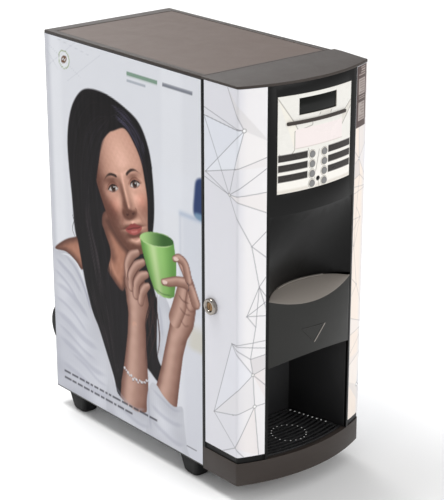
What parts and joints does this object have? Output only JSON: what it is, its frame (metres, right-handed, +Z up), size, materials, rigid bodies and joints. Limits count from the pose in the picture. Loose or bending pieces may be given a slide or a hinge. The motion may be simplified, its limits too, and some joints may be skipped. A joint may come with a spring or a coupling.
{
  "type": "hot drink vending machine",
  "caption": "Tall slim counter-top hot drink vending machine: bowed door with key panel and cup niche, powder canisters, mixers and boiler inside.",
  "frame": {"origin": "on the floor, under the middle of the whole machine's outline", "axes": "+Z up, front of the machine faces -Y, hinge side at +X"},
  "size_m": [0.267, 0.514, 0.654],
  "materials": {
    "brown_grey_top": "satin brown-grey powder coat",
    "dark_trim": "fine-grain dark brown-grey moulding",
    "white_film": "white printed film under a glossy laminate",
    "black_moulding": "black moulding, fine satin grain",
    "spout_grey": "very dark grey satin moulding",
    "silver_panel": "pale silver printed panel",
    "key_grey": "grey moulded key",
    "display_glass": "dark clear lens",
    "circuit_green": "solder mask over glass laminate",
    "zinc_sheet": "galvanised sheet",
    "stainless": "brushed stainless steel",
    "bright_chrome": "polished nickel-chrome plating",
    "lock_brass": "satin brass",
    "foot_black": "dense black moulded rubber",
    "canister_clear": "milky food-grade plastic",
    "lid_dark": "dark press-fit lid",
    "bowl_white": "white food-grade plastic",
    "motor_steel": "plated motor can",
    "hose_clear": "translucent silicone hose",
    "screw_zinc": "blackened zinc plating",
    "electrical_black": "black electrical moulding"
  },
  "bodies": {
    "cabinet": {"base_tray": "zinc_sheet", "left_panel": "white_film", "right_panel": "white_film", "back_panel": "zinc_sheet", "top_frame": "dark_trim", "top_lid": "brown_grey_top", "inner_frame": "zinc_sheet", "feet": "foot_black", "cabinet_screws": "screw_zinc", "rear_spacers": "foot_black", "power_inlet": "electrical_black", "fan_frame": "electrical_black", "boiler": "stainless", "valve_manifold": "lock_brass", "auger_motors": "motor_steel", "mixing_bowls": "bowl_white", "whipper_motors": "motor_steel", "nozzle_block": "bowl_white", "drink_hoses": "hose_clear", "cabinet_hinge_leaves": "stainless", "hinge_pins": "stainless"},
    "door": {"door_shell": "black_moulding", "door_skin_left": "white_film", "door_skin_right": "white_film", "door_cap": "dark_trim", "fascia": "black_moulding", "spout_cover": "spout_grey", "control_panel": "silver_panel", "display_window": "display_glass", "display_board": "circuit_green", "ridge_bar": "dark_trim", "niche_liner": "black_moulding", "plinth": "dark_trim", "lock_body": "bright_chrome", "door_hinge_leaves": "stainless"},
    "lock_barrel": {"lock_barrel": "lock_brass"},
    "power_rocker": {"power_rocker": "electrical_black"},
    "fan_rotor": {"fan_rotor": "electrical_black"},
    "drip_tray": {"drip_tray": "black_moulding"},
    "cup_grille": {"cup_grille": "black_moulding"},
    "button_1": {"button_1": "key_grey"},
    "button_2": {"button_2": "key_grey"},
    "button_3": {"button_3": "key_grey"},
    "button_4": {"button_4": "key_grey"},
    "button_5": {"button_5": "key_grey"},
    "button_6": {"button_6": "key_grey"},
    "button_7": {"button_7": "key_grey"},
    "button_8": {"button_8": "key_grey"},
    "canister_1": {"canister_1": "canister_clear"},
    "canister_lid_1": {"canister_lid_1": "lid_dark"},
    "auger_1": {"auger_1": "stainless"},
    "whipper_1": {"whipper_1": "bowl_white"},
    "canister_2": {"canister_2": "canister_clear"},
    "canister_lid_2": {"canister_lid_2": "lid_dark"},
    "auger_2": {"auger_2": "stainless"},
    "whipper_2": {"whipper_2": "bowl_white"},
    "canister_3": {"canister_3": "canister_clear"},
    "canister_lid_3": {"canister_lid_3": "lid_dark"},
    "auger_3": {"auger_3": "stainless"},
    "whipper_3": {"whipper_3": "bowl_white"}
  },
  "joints": [
    {"name": "door_hinge", "type": "hinge", "parent": "cabinet", "child": "door", "pos_m": [0.1302, -0.1505, 0.034], "axis": [0, 0, 1], "range_deg": [0, 110]},
    {"name": "lock_turn", "type": "hinge", "parent": "door", "child": "lock_barrel", "pos_m": [-0.127, -0.1695, 0.3086], "axis": [1, 0, 0], "range_deg": [-90, 0]},
    {"name": "rocker_tip", "type": "hinge", "parent": "cabinet", "child": "power_rocker", "pos_m": [0.084, 0.2418, 0.098], "axis": [1, 0, 0], "range_deg": [0, 12]},
    {"name": "fan_spin", "type": "hinge", "parent": "cabinet", "child": "fan_rotor", "pos_m": [-0.06, 0.231, 0.554], "axis": [0, 1, 0], "continuous": true},
    {"name": "tray_lift", "type": "slide", "parent": "door", "child": "drip_tray", "axis": [0, 0, 1], "range_m": [0, 0.045]},
    {"name": "grille_lift", "type": "slide", "parent": "drip_tray", "child": "cup_grille", "axis": [0, 0, 1], "range_m": [0, 0.05]},
    {"name": "button_1_press", "type": "slide", "parent": "door", "child": "button_1", "axis": [0, 1, 0], "range_m": [0, 0.0015], "stiffness_N_per_m": 400, "springref_m": -0.001},
    {"name": "button_2_press", "type": "slide", "parent": "door", "child": "button_2", "axis": [0, 1, 0], "range_m": [0, 0.0015], "stiffness_N_per_m": 400, "springref_m": -0.001},
    {"name": "button_3_press", "type": "slide", "parent": "door", "child": "button_3", "axis": [0, 1, 0], "range_m": [0, 0.0015], "stiffness_N_per_m": 400, "springref_m": -0.001},
    {"name": "button_4_press", "type": "slide", "parent": "door", "child": "button_4", "axis": [0, 1, 0], "range_m": [0, 0.0015], "stiffness_N_per_m": 400, "springref_m": -0.001},
    {"name": "button_5_press", "type": "slide", "parent": "door", "child": "button_5", "axis": [0, 1, 0], "range_m": [0, 0.0015], "stiffness_N_per_m": 400, "springref_m": -0.001},
    {"name": "button_6_press", "type": "slide", "parent": "door", "child": "button_6", "axis": [0, 1, 0], "range_m": [0, 0.0015], "stiffness_N_per_m": 400, "springref_m": -0.001},
    {"name": "button_7_press", "type": "slide", "parent": "door", "child": "button_7", "axis": [0, 1, 0], "range_m": [0, 0.0015], "stiffness_N_per_m": 400, "springref_m": -0.001},
    {"name": "button_8_press", "type": "slide", "parent": "door", "child": "button_8", "axis": [0, 1, 0], "range_m": [0, 0.0015], "stiffness_N_per_m": 400, "springref_m": -0.001},
    {"name": "canister_1_draw", "type": "slide", "parent": "cabinet", "child": "canister_1", "axis": [0, -1, 0], "range_m": [0, 0.028]},
    {"name": "canister_lid_1_lift", "type": "slide", "parent": "canister_1", "child": "canister_lid_1", "axis": [0, 0, 1], "range_m": [0, 0.03]},
    {"name": "auger_1_spin", "type": "hinge", "parent": "canister_1", "child": "auger_1", "pos_m": [-0.08, 0, 0.394], "axis": [0, 1, 0], "continuous": true},
    {"name": "whipper_1_spin", "type": "hinge", "parent": "cabinet", "child": "whipper_1", "pos_m": [-0.08, -0.04, 0.29], "axis": [0, 1, 0], "continuous": true},
    {"name": "canister_2_draw", "type": "slide", "parent": "cabinet", "child": "canister_2", "axis": [0, -1, 0], "range_m": [0, 0.028]},
    {"name": "canister_lid_2_lift", "type": "slide", "parent": "canister_2", "child": "canister_lid_2", "axis": [0, 0, 1], "range_m": [0, 0.03]},
    {"name": "auger_2_spin", "type": "hinge", "parent": "canister_2", "child": "auger_2", "pos_m": [0, 0, 0.394], "axis": [0, 1, 0], "continuous": true},
    {"name": "whipper_2_spin", "type": "hinge", "parent": "cabinet", "child": "whipper_2", "pos_m": [0, -0.04, 0.29], "axis": [0, 1, 0], "continuous": true},
    {"name": "canister_3_draw", "type": "slide", "parent": "cabinet", "child": "canister_3", "axis": [0, -1, 0], "range_m": [0, 0.028]},
    {"name": "canister_lid_3_lift", "type": "slide", "parent": "canister_3", "child": "canister_lid_3", "axis": [0, 0, 1], "range_m": [0, 0.03]},
    {"name": "auger_3_spin", "type": "hinge", "parent": "canister_3", "child": "auger_3", "pos_m": [0.08, 0, 0.394], "axis": [0, 1, 0], "continuous": true},
    {"name": "whipper_3_spin", "type": "hinge", "parent": "cabinet", "child": "whipper_3", "pos_m": [0.08, -0.04, 0.29], "axis": [0, 1, 0], "continuous": true}
  ]
}
